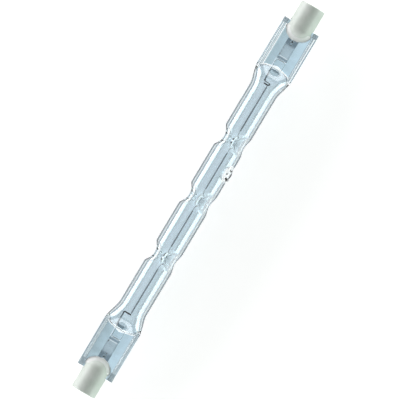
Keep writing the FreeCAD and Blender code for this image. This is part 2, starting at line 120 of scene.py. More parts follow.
def oval(angle, half_width, half_height):
    """Distance from the axis to an ellipse in the direction of angle."""
    across = half_height * math.cos(angle)
    up = half_width * math.sin(angle)
    return half_width * half_height / max(math.hypot(across, up), 1e-6)


def exhaust_tip(x, angle):
    """Height of the melted-off exhaust tube above the skin.

    It is a low swelling with a ring of small pits round its sealed end, and a nub beside it.
    out is 1 on the rim of the swelling. The pits are spaced and sunk a little unevenly.
    """
    along = x - TIP_PLACE
    turn = (angle - TIP_ANGLE + math.pi) % (2 * math.pi) - math.pi
    around = turn * TUBE_RADIUS
    out = math.hypot(along / TIP_HALF_LENGTH, around / TIP_HALF_WIDTH)
    if out > 1.3:
        return 0.0
    height = TIP_HEIGHT * smooth_step((TIP_FOOT - out) / TIP_SLOPE)
    for number in range(PITS):
        compass = 2 * math.pi * number / PITS + 0.3 * math.sin(5.0 * number)
        pit = math.hypot(
            along - PIT_RING[0] * math.cos(compass), around - PIT_RING[1] * math.sin(compass)
        )
        depth = PIT_DEPTH + 0.06 * math.sin(3.0 * number)
        height -= depth * math.exp(-((pit / PIT_SIZE) ** 2))
    nub = math.hypot(along - NUB_PLACE[0], around - NUB_PLACE[1])
    return height + NUB_HEIGHT * math.exp(-((nub / NUB_SIZE) ** 2))


def wall(x, angle, radius, closing, flattening, dimple):
    """Distance from the axis to one skin of the tube and of the shoulder that closes it.

    closing is (start, length) along the lamp, flattening is (start, length, depth), and
    dimple is the (half length, depth, spread) of the crimps.
    """
    far = abs(x)
    start, length = closing
    past = max(far - start, 0.0) / length
    half_width = (radius + flare(x)) * math.sqrt(max(1 - past * past, 0.0))
    start, length, depth = flattening
    half_height = radius - depth * smooth_step((far - start) / length)
    return oval(angle, max(half_width, 0.3), half_height) - crimp(x, angle, *dimple)


def outer_skin(x, angle):
    """Outside of the tube, with the melted-off exhaust tube on it."""
    skin = wall(
        x, angle, TUBE_RADIUS, closing=(38.4, 3.38), flattening=(36.0, 5.0, 3.4),
        dimple=(3.2, 2.15, 22),
    )
    return skin + exhaust_tip(x, angle)


def inner_skin(x, angle):
    """Inside of the tube."""
    return wall(
        x, angle, BORE_RADIUS, closing=(37.1, 2.99), flattening=(35.4, 4.3, 2.85),
        dimple=(3.3, 2.2, 32),
    )


def pinch_outline(half_width):
    """Corners of one quarter of the I-shaped pinch, from the rail's side to the middle."""
    crest = half_width - RAIL_ROUND
    foot = crest - RAIL_SLOPE
    points = []
    for step in range(ROUND_STEPS + 1):
        turn = math.pi / 2 * step / ROUND_STEPS
        points.append((crest + RAIL_ROUND * math.cos(turn), RAIL_HALF * math.sin(turn) ** 0.7))
    for step in range(1, SLOPE_STEPS + 1):
        share = step / SLOPE_STEPS
        lower = (WEB_HALF - RAIL_HALF) * smooth_step(share)
        points.append((crest - RAIL_SLOPE * share, RAIL_HALF + lower))
    for step in range(1, WEB_STEPS + 1):
        points.append((foot * (1 - step / WEB_STEPS), WEB_HALF))
    return points


def whole_outline(quarter):
    """The full closed outline from one quarter, counter-clockwise from the +Y side."""
    half = quarter + [(-y, z) for y, z in reversed(quarter[:-1])]
    return half + [(y, -z) for y, z in reversed(half[1:-1])]


def closed_skin(name, rings, materials, chosen=lambda number, step: 0):
    """A mesh through rings of points in millimetres, closed at both ends.

    chosen gives the number of a quad's material, from its ring and its step round it.
    """
    vertices = [
        (x / 1000, y / 1000, (z + AXIS_HEIGHT) / 1000) for ring in rings for x, y, z in ring
    ]
    count = len(rings[0])
    faces = []
    slots = []
    for number in range(len(rings) - 1):
        for step in range(count):
            here = number * count + step
            after = number * count + (step + 1) % count
            faces.append((here, after, after + count, here + count))
            slots.append(chosen(number, step))
    faces.append(tuple(reversed(range(count))))
    faces.append(tuple(range(len(vertices) - count, len(vertices))))
    slots += [chosen(0, 0), chosen(len(rings) - 2, 0)]
    mesh = bpy.data.meshes.new(name)
    mesh.from_pydata(vertices, [], faces)
    for material in materials:
        mesh.materials.append(material)
    for face, slot in zip(mesh.polygons, slots):
        face.material_index = slot
        face.use_smooth = len(face.vertices) == 4
    mesh.validate()
    piece = bpy.data.objects.new(name, mesh)
    bpy.context.scene.collection.objects.link(piece)
    return piece


NEAR_CRIMP = 4.0
NEAR_TIP = 2.6
NEAR_END = 0.5
SHOULDER = (32.5, 42.0)
CLOSE_STEP = 0.16
WIDE_STEP = 0.8


def places_along(reach):
    """Stations along the envelope, close together where its form changes."""
    stations = [-reach]
    while stations[-1] < reach:
        x = stations[-1]
        far = abs(x)
        near_crimp = min(abs(x - middle) for middle in CRIMPS) < NEAR_CRIMP
        near_tip = abs(x - TIP_PLACE) < NEAR_TIP
        on_shoulder = SHOULDER[0] < far < SHOULDER[1]
        close = near_crimp or near_tip or on_shoulder or far > PINCH_END - NEAR_END
        stations.append(min(x + (CLOSE_STEP if close else WIDE_STEP), reach))
    return stations


def linear(code):
    """A colour written as sRGB hex, as the linear values that the shader works in."""
    shares = [int(code[at:at + 2], 16) / 255 for at in (1, 3, 5)]
    values = [v / 12.92 if v <= 0.04045 else ((v + 0.055) / 1.055) ** 2.4 for v in shares]
    return (*values, 1.0)


def node(material, kind, settings=None, links=None):
    """Adds a node with its settings and its incoming links.

    A setting is an input by its name or number, a property of the node, or "stops", the
    (share, colour) pairs of its colour ramp.
    """
    item = material.node_tree.nodes.new(kind)
    for name, value in (settings or {}).items():
        if name == "stops":
            stops = item.color_ramp.elements
            while len(stops) < len(value):
                stops.new(0.5)
            for stop, (share, shade) in zip(stops, value):
                stop.position = share
                stop.color = linear(shade)
        elif isinstance(name, int) or name in item.inputs:
            item.inputs[name].default_value = value
        else:
            setattr(item, name, value)
    for name, source in (links or {}).items():
        material.node_tree.links.new(source, item.inputs[name])
    return item


def finish(name):
    """A node material with nothing in it yet."""
    material = bpy.data.materials.new(name)
    material.use_nodes = True
    material.node_tree.nodes.clear()
    return material


# The seal foil and the outer lead, in millimetres: the glass has painted highlight lines over
# the foil, and a gap round the rod.
FOIL_HALF = 1.5
ROD_LIFT = 0.3

# The painted highlight lines in the glass over the foil, in metres: half the width of the
# first and of the others, how far the others stay off the foil's +Y edge, and where all of
# them end on its -Y side.
FIRST_LINE_HALF = 0.0001
LINE_HALF = 0.00008
SHORT_OF_EDGE = 0.0002
LINES_END = -0.00145


def foil_highlight_lines(material, axes, highlight_lines_at, tint):
    """The tint with painted highlight lines over the end of the foil, where the glass was
    pressed onto it.

    highlight_lines_at are their distances from the middle of the lamp, in metres. The first line
    also turns inwards along the foil's +Y edge, and the others stop short of that edge.
    """
    outward = node(
        material, "ShaderNodeMath", {"operation": "ABSOLUTE"}, {0: axes.outputs["X"]}
    )
    past_edge = node(
        material, "ShaderNodeMath", {"operation": "SUBTRACT", 1: FOIL_HALF / 1000},
        {0: axes.outputs["Y"]},
    )
    on_foil = node(
        material, "ShaderNodeMath", {"operation": "GREATER_THAN", 1: LINES_END},
        {0: axes.outputs["Y"]},
    )
    for number, distance in enumerate(highlight_lines_at):
        past_place = node(
            material, "ShaderNodeMath", {"operation": "SUBTRACT", 1: distance},
            {0: outward.outputs["Value"]},
        )
        way = node(
            material, "ShaderNodeMath", {"operation": "MAXIMUM"},
            {0: past_place.outputs["Value"], 1: past_edge.outputs["Value"]},
        )
        half_line = LINE_HALF if number else FIRST_LINE_HALF
        line = node(
            material, "ShaderNodeMath", {"operation": "COMPARE", 1: 0.0, 2: half_line},
            {0: way.outputs["Value"]},
        )
        line = node(
            material, "ShaderNodeMath", {"operation": "MULTIPLY"},
            {0: line.outputs["Value"], 1: on_foil.outputs["Value"]},
        )
        if number:
            short_of_edge = node(
                material, "ShaderNodeMath", {"operation": "LESS_THAN", 1: -SHORT_OF_EDGE},
                {0: past_edge.outputs["Value"]},
            )
            line = node(
                material, "ShaderNodeMath", {"operation": "MULTIPLY"},
                {0: line.outputs["Value"], 1: short_of_edge.outputs["Value"]},
            )
        # Painted highlight: a light line in the tint.
        marked = node(
            material, "ShaderNodeMixRGB", {"Color2": linear("#d6e1e8")},
            {"Fac": line.outputs["Value"], "Color1": tint},
        )
        tint = marked.outputs["Color"]
    return tint


def wall_shade(material, sides, lines, steep_shade):
    """Painted shade and painted highlights: the lines that a thick wall of clear glass shows
    along its own edges, painted into its tint.

    lines are the (share, colour) stops for the shaded +Y side and for the lit -Y side, from
    where a section of the lamp is grazed to where it is met square. They fade to steep_shade
    where the wall turns steeply along the lamp.
    """
    across = node(
        material, "ShaderNodeVectorMath", {"operation": "MULTIPLY", 1: (0.0, 1.0, 1.0)},
        {0: sides.outputs["Normal"]},
    )
    in_section = node(
        material, "ShaderNodeVectorMath", {"operation": "LENGTH"}, {0: across.outputs["Vector"]}
    )
    # The lines are painted by how squarely the view meets the wall in the lamp's section.
    grazing = node(material, "ShaderNodeLayerWeight", {"Blend": 0.5})
    met = node(
        material, "ShaderNodeMath", {"operation": "SUBTRACT", 0: 1.0},
        {1: grazing.outputs["Facing"]},
    )
    square = node(
        material, "ShaderNodeMath", {"operation": "DIVIDE", "use_clamp": True},
        {0: met.outputs["Value"], 1: in_section.outputs["Value"]},
    )
    shaded, lit = [
        node(material, "ShaderNodeValToRGB", {"stops": stops}, {"Fac": square.outputs["Value"]})
        for stops in lines
    ]
    slopes = node(material, "ShaderNodeSeparateXYZ", {}, {"Vector": sides.outputs["Normal"]})
    lit_side = node(
        material, "ShaderNodeMapRange", {"From Min": 0.2, "From Max": -0.2},
        {"Value": slopes.outputs["Y"]},
    )
    by_side = node(
        material, "ShaderNodeMixRGB", {},
        {
            "Fac": lit_side.outputs["Result"], "Color1": shaded.outputs["Color"],
            "Color2": lit.outputs["Color"],
        },
    )
    slope = node(material, "ShaderNodeMath", {"operation": "ABSOLUTE"}, {0: slopes.outputs["X"]})
    fading = node(
        material, "ShaderNodeMapRange", {"From Min": 0.3, "From Max": 0.5},
        {"Value": slope.outputs["Value"]},
    )
    faded = node(
        material, "ShaderNodeMixRGB", {"Color2": linear(steep_shade)},
        {"Fac": fading.outputs["Result"], "Color1": by_side.outputs["Color"]},
    )
    return faded.outputs["Color"]


def quartz(
    name, marks, strength, colours, lines=(), steep_shade="#c6d3da", lean=0.0, highlight_lines_at=()
):
    """Clear glass with marks of a given scale along and across the lamp, in marks per metre.

    The marks mix the two colours, and lean, in shares per metre, lets the second grow from
    the +Y side of the lamp to the -Y side. highlight_lines_at is explained in foil_highlight_lines. lines and
    steep_shade are explained in wall_shade, and show only where light enters the glass.
    """
    material = finish(name)
    place = node(material, "ShaderNodeTexCoord")
    stretched = node(
        material, "ShaderNodeMapping", {"Scale": marks}, {"Vector": place.outputs["Object"]}
    )
    noise = node(
        material, "ShaderNodeTexNoise", {"Scale": 1.0, "Detail": 2.0},
        {"Vector": stretched.outputs["Vector"]},
    )
    waves = node(
        material, "ShaderNodeBump", {"Strength": strength, "Distance": 0.0004},
        {"Height": noise.outputs["Fac"]},
    )
    axes = node(material, "ShaderNodeSeparateXYZ", {}, {"Vector": place.outputs["Object"]})
    # The lean makes the tint lighter towards the -Y side, where the lower softbox lights the
    # lamp: painted light.
    leaning = node(
        material, "ShaderNodeMath", {"operation": "MULTIPLY_ADD", "use_clamp": True, 1: -lean},
        {0: axes.outputs["Y"], 2: noise.outputs["Fac"]},
    )
    patches = node(
        material, "ShaderNodeMixRGB",
        {"Color1": linear(colours[0]), "Color2": linear(colours[1])},
        {"Fac": leaning.outputs["Value"]},
    )
    tint = patches.outputs["Color"]
    if highlight_lines_at:
        tint = foil_highlight_lines(material, axes, highlight_lines_at, tint)
    if lines:
        sides = node(material, "ShaderNodeNewGeometry")
        entry = node(
            material, "ShaderNodeMixRGB", {},
            {
                "Fac": sides.outputs["Backfacing"],
                "Color1": wall_shade(material, sides, lines, steep_shade),
                "Color2": tint,
            },
        )
        tint = entry.outputs["Color"]
    glass = node(
        material, "ShaderNodeBsdfPrincipled",
        {"Roughness": 0.0, "IOR": 1.458, "Transmission Weight": 1.0},
        {"Base Color": tint, "Normal": waves.outputs["Normal"]},
    )
    node(material, "ShaderNodeOutputMaterial", {}, {"Surface": glass.outputs["BSDF"]})
    return material


def painted_line_stops(outer, inner):
    """Stops for a painted dark outline, a painted line inside it, painted highlight bands, and
    the edge of the greyer painted middle.

    outer and inner are the two colours of the line inside the outline.
    """
    return (
        (0.0, "#162027"), (0.3, "#2b3840"), (0.44, "#43535e"), (0.49, "#d0dadf"),
        (0.56, "#d9e2e6"), (0.6, outer), (0.66, inner), (0.7, "#f0f5f7"),
        (0.85, "#f4fafc"), (0.895, "#78868c"), (0.93, "#a6b4bd"), (1.0, "#b6c4cd"),
    )


# Drawn fused quartz: clear and cool, with faint draw lines about a millimetre apart along
# the tube. The dark outline and the second line inside it, which a thick wall shows, are
# painted into its tint as painted shade.
painted_wall_shading = (painted_line_stops("#63737e", "#5a6b76"), painted_line_stops("#93a1aa", "#93a1aa"))
drawn_quartz = quartz(
    "drawn_fused_quartz", (60.0, 900.0, 900.0), 0.05, ("#e7eef2", "#ebf2f5"), painted_wall_shading
)

# Flared quartz: the same wall, heated again to close it over the pinch. It is thicker there,
# and where it turns steeply its painted lines fade to a greyer painted shade.
flared_quartz = quartz(
    "flared_fused_quartz", (60.0, 900.0, 900.0), 0.05, ("#e7eef2", "#ebf2f5"), painted_wall_shading,
    steep_shade="#93a5b0",
)

# The bore of the same tube, left as it was drawn, with no lines of its own.
bore_quartz = quartz(
    "drawn_quartz_bore", (60.0, 900.0, 900.0), 0.03, ("#e7eef2", "#ebf2f5")
)

# Pressed quartz: the same glass squeezed flat between steel jaws, which leaves fine marks
# of a few millimetres. Its blue-grey tint is painted shade, as if darker surroundings showed
# through the flat glass, and it is painted lighter towards the lit -Y side of the lamp.
pressed_quartz = quartz(
    "pressed_fused_quartz", (500.0, 250.0, 250.0), 0.1, ("#93a7b0", "#b3c9d6"), lean=110.0,
    highlight_lines_at=(0.0424, 0.0435),
)

# Fire-polished quartz: smooth, clear and nearly white. Set in bands on the fillet, the rails
# and the rim of the exhaust tip, it makes painted highlights against the greyer glass.
polished_highlight_quartz = quartz(
    "fire_polished_quartz", (300.0, 300.0, 300.0), 0.03, ("#f2f7f9", "#fafcfd")
)

# Chilled quartz: dark grey glass with fine wavy marks. It is painted shade: the dark lines
# along the sides of the rails and the dark patch in the wall over the feet of the inner leads.
dark_shade_quartz = quartz(
    "shade_painted_fused_quartz", (700.0, 700.0, 700.0), 0.04, ("#58666e", "#869aa5")
)

# Broken quartz: the ends, where the pinch was cracked to length. They are painted dark grey
# as painted shade, with lighter streaks of about 0.4 mm along the crack.
broken_shaded_quartz = quartz(
    "broken_fused_quartz", (900.0, 2600.0, 2600.0), 0.12, ("#42515a", "#b0bfc7")
)

# The numbers of these glasses on the envelope.
DRAWN, PRESSED, POLISHED_HIGHLIGHT, DARK_SHADE, FLARED, BROKEN_SHADED = range(6)

# Each rail has its own bands of glass: dark glass for painted shade and clear glass for
# painted highlight lines, different on each rail. They are given by (x > 0, y > 0) of the
# rail, with the step of the outline before which each band ends.
WHOLE = QUARTER_STEPS + 1
rail_bands = {
    (False, True): ((11, DARK_SHADE), (15, POLISHED_HIGHLIGHT), (17, DARK_SHADE), (WHOLE, PRESSED)),
    (True, True): (
        (8, DARK_SHADE), (12, POLISHED_HIGHLIGHT), (16, DARK_SHADE), (20, POLISHED_HIGHLIGHT), (WHOLE, PRESSED),
    ),
    (False, False): ((12, DARK_SHADE), (17, POLISHED_HIGHLIGHT), (WHOLE, PRESSED)),
    (True, False): ((10, DARK_SHADE), (15, POLISHED_HIGHLIGHT), (17, DARK_SHADE), (WHOLE, PRESSED)),
}

# Where the skin's points turn from even angles to the corners of the pinch, where the pinch
# starts inside the tube and widens, where both join in a fillet, and where the tube ends.
TURNING_START = 33.5
TURNING_LENGTH = 2.0
PRESS_START = 34.55
PRESS_LENGTH = 4.0
PRESS_HALF = 3.6
FILLET = 0.35
FILLET_START = 36.0
TUBE_END = 41.7

# Where the glass changes: distances from the middle of the lamp, the height above which the
# fillet gets clear glass for a painted highlight, the painted dark patch over the lead's foot,
# and the rim of the exhaust tip.
FLARED_FROM = 32.9
HIGHLIGHT_FILLET_FROM = 37.5
HIGHLIGHT_FILLET_ABOVE = 0.9
LEAD_FOOT_FROM = 38.75
LEAD_FOOT_ASIDE = 0.25
LEAD_FOOT_HALF = 0.6
BROKEN_FROM = 51.4
TIP_RIM = 1.15


def glass_at(x, y, z, angle, tube, flat, from_side):
    """The number of the glass at a corner of the outline.

    tube and flat are the distances from the axis to the round skin and to the flat pinch,
    and from_side counts the steps from the side of the nearest rail.
    """
    far = abs(x)
    from_tip = math.hypot(
        (x - TIP_PLACE) / TIP_HALF_LENGTH, (angle - TIP_ANGLE) * TUBE_RADIUS / TIP_HALF_WIDTH
    )
    from_lead_foot = abs(y + math.copysign(LEAD_FOOT_ASIDE, x))
    # Clear glass on the fillet makes a painted highlight line.
    if abs(tube - flat) < FILLET and far > HIGHLIGHT_FILLET_FROM and abs(z) > HIGHLIGHT_FILLET_ABOVE:
        return POLISHED_HIGHLIGHT
    # Dark glass over the lead's foot: painted shade.
    if tube > flat and far > LEAD_FOOT_FROM and from_lead_foot < LEAD_FOOT_HALF:
        return DARK_SHADE
    if tube > flat and far > FLARED_FROM:
        return FLARED
    if tube > flat:
        return POLISHED_HIGHLIGHT if from_tip < TIP_RIM else DRAWN
    if far > BROKEN_FROM and from_side <= ROUND_STEPS + SLOPE_STEPS:
        return BROKEN_SHADED
    return next(glass for end, glass in rail_bands[x > 0, y > 0] if from_side < end)


def envelope_ring(x):
    """The points round the outside of the envelope at x, and the glass at each.

    The points are spaced by angle on the tube and by the outline's corners on the pinch.
    """
    far = abs(x)
    opened = min(max((far - PRESS_START) / PRESS_LENGTH, 0.0), 1.0)
    outline = whole_outline(pinch_outline(PRESS_HALF + (PINCH_HALF - PRESS_HALF) * opened))
    ring = []
    glasses = []
    for step, (y, z) in enumerate(outline):
        even = 2 * math.pi * step / len(outline)
        angle = math.atan2(z, y) % (2 * math.pi)
        angle = even + (angle - even) * smooth_step((far - TURNING_START) / TURNING_LENGTH)
        tube = outer_skin(x, angle) if far < TUBE_END else 0.0
        flat = math.hypot(y, z) if far > PRESS_START else 0.0
        if far < FILLET_START:
            flat = min(flat, tube)
        reach = max(tube, flat)
        if abs(tube - flat) < FILLET and far > FILLET_START:
            reach += (FILLET - abs(tube - flat)) ** 2 / (4 * FILLET)
        half_way = step % (2 * QUARTER_STEPS)
        from_side = min(half_way, 2 * QUARTER_STEPS - half_way)
        glasses.append(glass_at(x, y, z, angle, tube, flat, from_side))
        across = min(max(reach * math.cos(angle), -PINCH_HALF), PINCH_HALF)
        ring.append((x, across, reach * math.sin(angle)))
    return ring, glasses


stations = [envelope_ring(x) for x in places_along(PINCH_END)]
envelope = closed_skin(
    "quartz_tube", [ring for ring, glasses in stations],
    (
        drawn_quartz, pressed_quartz, polished_highlight_quartz, dark_shade_quartz, flared_quartz,
        broken_shaded_quartz,
    ),
    lambda number, step: stations[number][1][step],
)
bore_rings = [
    [
        (x, inner_skin(x, angle) * math.cos(angle), inner_skin(x, angle) * math.sin(angle))
        for angle in (-2 * math.pi * step / BORE_SIDES for step in range(BORE_SIDES))
    ]
    for x in places_along(BORE_END)
]
hollows = [closed_skin("quartz_bore", bore_rings, (bore_quartz,))]

# Unsealed quartz: where the glass stays clear of the end of the foil and of the outer lead.
# The thin gap shows as light and dark lines along its edges.
unsealed_quartz = quartz(
    "unsealed_fused_quartz", (900.0, 900.0, 900.0), 0.05, ("#fbfcfd", "#ffffff")
)
GAP_START = 39.4
GAP_LENGTH = 3.05
GAP_HALF = 0.3
SLEEVE_START = 46.9
SLEEVE_LENGTH = 6.05
SLEEVE_RADIUS = 0.43
for side in (-1, 1):
    ahead_of_foil = []
    for step in range(17):
        along = step / 16
        narrow = max(1 - (2 * along - 1) ** 8, 0.02)
        ahead_of_foil.append([
            (
                side * (GAP_START + GAP_LENGTH * along),
                FOIL_HALF * narrow ** 0.2
                * math.copysign(abs(math.cos(turn)) ** 0.4, math.cos(turn)),
                GAP_HALF * narrow * math.sin(turn),
            )
            for turn in (-side * 2 * math.pi * corner / 32 for corner in range(32))
        ])
    round_rod = []
    for step in range(25):
        along = step / 24
        wide = SLEEVE_RADIUS * math.sqrt(min(along / 0.05, 1.0)) + 0.02
        round_rod.append([
            (
                side * (SLEEVE_START + SLEEVE_LENGTH * along),
                wide * math.cos(turn),
                ROD_LIFT + wide * math.sin(turn),
            )
            for turn in (-side * 2 * math.pi * corner / 24 for corner in range(24))
        ])
    for gap in (ahead_of_foil, round_rod):
        hollows.append(closed_skin("hollow", gap, (unsealed_quartz,)))
bpy.context.view_layer.update()
with bpy.context.temp_override(
    active_object=envelope, selected_editable_objects=[envelope, *hollows]
):
    bpy.ops.object.join()
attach(envelope, "root")
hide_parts("quartz_envelope")

# Filament
# Tungsten wire of a tenth of a millimetre, wound into a tight coil about half a millimetre
# across. It runs straight through each crimp, which holds it near the middle of the tube.

COIL_RADIUS = 0.17
COIL_PITCH = 0.2
COIL_WIRE = 0.052
COIL_STEPS = 12
COIL_GAP = 0.15
STRAIGHT_HALF = 3.1
FILAMENT_END = 34.9
SAG_HELD = 0.12
SAG_FREE = 0.16
SAG_LENGTH = 4.0


def wire(name, points, radius, sides, materials, second_from=math.inf):
    """A round wire along points in millimetres about the axis of the lamp.

    It takes the second material where it lies farther out than second_from.
    """
    vectors = [Vector(point) for point in points]
    rings = []
    side_way = None
    for number, point in enumerate(vectors):
        before = vectors[max(number - 1, 0)]
        after = vectors[min(number + 1, len(vectors) - 1)]
        ahead = (after - before).normalized()
        if side_way is None:
            side_way = ahead.orthogonal().normalized()
        side_way = (side_way - ahead * side_way.dot(ahead)).normalized()
        third = ahead.cross(side_way)
        ring = []
        for step in range(sides):
            turn = 2 * math.pi * step / sides
            at = point + side_way * (radius * math.cos(turn)) + third * (radius * math.sin(turn))
            ring.append(tuple(at))
        rings.append(ring)
    far = [abs(point.x) > second_from for point in vectors]
    return closed_skin(name, rings, materials, lambda number, step: int(far[number]))


# Drawn tungsten: dark steel grey, with fine lines from the die about 0.1 mm apart.
tungsten = finish("drawn_tungsten")
place = node(tungsten, "ShaderNodeTexCoord")
grain = node(
    tungsten, "ShaderNodeTexNoise", {"Scale": 9000.0, "Detail": 2.0},
    {"Vector": place.outputs["Object"]},
)
shade = node(
    tungsten, "ShaderNodeValToRGB", {"stops": ((0.0, "#535960"), (1.0, "#757e88"))},
    {"Fac": grain.outputs["Fac"]},
)
metal = node(
    tungsten, "ShaderNodeBsdfPrincipled", {"Metallic": 1.0, "Roughness": 0.38},
    {"Base Color": shade.outputs["Color"]},
)
node(tungsten, "ShaderNodeOutputMaterial", {}, {"Surface": metal.outputs["BSDF"]})


def sag(x):
    """How far the filament hangs off the axis, back near it in each crimp."""
    off = min(abs(x - middle) for middle in CRIMPS)
    return -SAG_HELD - SAG_FREE * smooth_step(off / SAG_LENGTH)


route = [(-FILAMENT_END, sag(FILAMENT_END), 0.0)]
edges = [-FILAMENT_END]
for middle in CRIMPS:
    edges += [middle - STRAIGHT_HALF, middle + STRAIGHT_HALF]
edges.append(FILAMENT_END)
for start, stop in zip(edges[0::2], edges[1::2]):
    length = stop - start - 2 * COIL_GAP
    count = round(length / COIL_PITCH) * COIL_STEPS
    for step in range(count + 1):
        turn = 2 * math.pi * step / COIL_STEPS
        ease = min(step, count - step, COIL_STEPS) / COIL_STEPS
        x = start + COIL_GAP + length * (step / count)
        route.append((
            x,
            sag(x) + COIL_RADIUS * ease * math.cos(turn),
            COIL_RADIUS * ease * math.sin(turn),
        ))
route.append((FILAMENT_END, sag(FILAMENT_END), 0.0))
filament = wire("filament", route, COIL_WIRE, sides=6, materials=(tungsten,))
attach(filament, "root")
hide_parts("filament_coil")

# Inner leads
# Tungsten rod, bent cold. One end is welded flat on the seal foil, the other turns across
# the tube and carries the end of the filament: a plain arm on the left, a hook on the right.

LEAD_RADIUS = 0.2
LEAD_LIFT = 0.18
LEAD_BEND = 0.3
LEAD_FOOT = 39.3

# The corners of each lead as (x, y), from the foil inwards.
lead_routes = {
    "left": ((-44.0, 1.3), (-40.0, 1.3), (-35.1, 1.6), (-35.1, -0.45)),
    "right": (
        (44.0, 1.3), (40.0, 1.3), (35.95, 1.05), (35.95, -0.55), (35.1, -0.55), (35.1, 0.9),
    ),
}


def bent(points, radius, steps=7, spacing=0.5):
    """Straight runs with a round bend at each corner, and points along them at a spacing."""
    path = [Vector(points[0])]
    for before, corner, after in zip(points, points[1:], points[2:]):
        back = (Vector(before) - Vector(corner)).normalized()
        ahead = (Vector(after) - Vector(corner)).normalized()
        half_turn = back.angle(ahead) / 2
        setback = radius / math.tan(half_turn)
        middle = Vector(corner) + (back + ahead).normalized() * (radius / math.sin(half_turn))
        start = (Vector(corner) + back * setback - middle).normalized()
        stop = (Vector(corner) + ahead * setback - middle).normalized()
        path += [middle + start.slerp(stop, step / steps) * radius for step in range(steps + 1)]
    path.append(Vector(points[-1]))
    fine = []
    for here, there in zip(path, path[1:]):
        count = max(round((there - here).length / spacing), 1)
        fine += [tuple(here.lerp(there, step / count)) for step in range(count)]
    return fine + [tuple(path[-1])]


# Heated tungsten: blackened where the lead carries the filament, and silvery grey farther
# out, with the same fine lines from the die.
heated = finish("heated_tungsten")
place = node(heated, "ShaderNodeTexCoord")
grain = node(
    heated, "ShaderNodeTexNoise", {"Scale": 9000.0, "Detail": 2.0},
    {"Vector": place.outputs["Object"]},
)
dies = node(
    heated, "ShaderNodeValToRGB", {"stops": ((0.0, "#dadee0"), (1.0, "#ffffff"))},
    {"Fac": grain.outputs["Fac"]},
)
axes = node(heated, "ShaderNodeSeparateXYZ", {}, {"Vector": place.outputs["Object"]})
far_out = node(heated, "ShaderNodeMath", {"operation": "ABSOLUTE"}, {0: axes.outputs["X"]})
from_heat = node(
    heated, "ShaderNodeMapRange", {"From Min": 0.0361, "From Max": 0.0372},
    {"Value": far_out.outputs["Value"]},
)
heat = node(
    heated, "ShaderNodeMixRGB",
    {"Color1": linear("#262c31"), "Color2": linear("#7a858d")},
    {"Fac": from_heat.outputs["Result"]},
)
shade = node(
    heated, "ShaderNodeMixRGB", {"blend_type": "MULTIPLY", "Fac": 1.0},
    {"Color1": heat.outputs["Color"], "Color2": dies.outputs["Color"]},
)
metal = node(
    heated, "ShaderNodeBsdfPrincipled", {"Metallic": 1.0, "Roughness": 0.38},
    {"Base Color": shade.outputs["Color"]},
)
node(heated, "ShaderNodeOutputMaterial", {}, {"Surface": metal.outputs["BSDF"]})

# Etched molybdenum: satin grey, with faint rolling marks a quarter of a millimetre apart
# along the foil. It is darker in a line by the inner lead and beside the outer one, and it is
# painted darker towards its feather edge as painted shade.
molybdenum = finish("etched_molybdenum")
place = node(molybdenum, "ShaderNodeTexCoord")
stretched = node(
    molybdenum, "ShaderNodeMapping", {"Scale": (300.0, 4000.0, 1000.0)},
    {"Vector": place.outputs["Object"]},
)
rolled = node(
    molybdenum, "ShaderNodeTexNoise", {"Scale": 1.0, "Detail": 3.0},
    {"Vector": stretched.outputs["Vector"]},
)
shade = node(
    molybdenum, "ShaderNodeValToRGB", {"stops": ((0.0, "#f8fafb"), (1.0, "#ffffff"))},
    {"Fac": rolled.outputs["Fac"]},
)
axes = node(molybdenum, "ShaderNodeSeparateXYZ", {}, {"Vector": place.outputs["Object"]})
far_out = node(molybdenum, "ShaderNodeMath", {"operation": "ABSOLUTE"}, {0: axes.outputs["X"]})
along_foil = node(
    molybdenum, "ShaderNodeMapRange", {"From Min": 0.0425, "From Max": 0.0505},
    {"Value": far_out.outputs["Value"]},
)
darker_lines = node(
    molybdenum, "ShaderNodeValToRGB",
    {
        "stops": (
            (0.0, "#ffffff"), (0.03, "#ffffff"), (0.045, "#bfc8cd"), (0.085, "#c6ced3"),
            (0.1, "#ffffff"), (0.2, "#ffffff"), (0.5, "#fafbfc"), (0.6, "#a6b0b6"),
        ),
    },
    {"Fac": along_foil.outputs["Result"]},
)
marked = node(
    molybdenum, "ShaderNodeMixRGB", {"blend_type": "MULTIPLY", "Fac": 1.0},
    {"Color1": shade.outputs["Color"], "Color2": darker_lines.outputs["Color"]},
)
# Painted shade: darker towards the feather edge.
sideways = node(
    molybdenum, "ShaderNodeMath", {"operation": "ABSOLUTE"}, {0: axes.outputs["Y"]}
)
feather = node(
    molybdenum, "ShaderNodeMapRange", {"From Min": 0.0009, "From Max": 0.0014, "To Max": 0.3},
    {"Value": sideways.outputs["Value"]},
)
edge_shaded = node(
    molybdenum, "ShaderNodeMixRGB", {"Color2": linear("#8b959b")},
    {"Fac": feather.outputs["Result"], "Color1": marked.outputs["Color"]},
)
metal = node(
    molybdenum, "ShaderNodeBsdfPrincipled", {"Metallic": 1.0, "Roughness": 0.12},
    {"Base Color": edge_shaded.outputs["Color"]},
)
node(molybdenum, "ShaderNodeOutputMaterial", {}, {"Surface": metal.outputs["BSDF"]})

# The flat foot of the lead lies on the foil and is as light as the foil.
for end, plan in lead_routes.items():
    path = bent([(x, y, LEAD_LIFT) for x, y in plan], LEAD_BEND)
    lead = wire(
        f"inner_lead_wire_{end}", path, LEAD_RADIUS, sides=16,
        materials=(heated, molybdenum), second_from=LEAD_FOOT,
    )
    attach(lead, "root")
    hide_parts(f"inner_lead_{end}")

# Seal foils
# Molybdenum foil a few hundredths of a millimetre thick, etched to a feather edge. The
# quartz is pressed onto it, which makes the seal, and both leads are welded to it.

ENDS = ((-1, "left"), (1, "right"))
FOIL_START = 42.5
FOIL_LENGTH = 8.0
FOIL_STEPS = 40

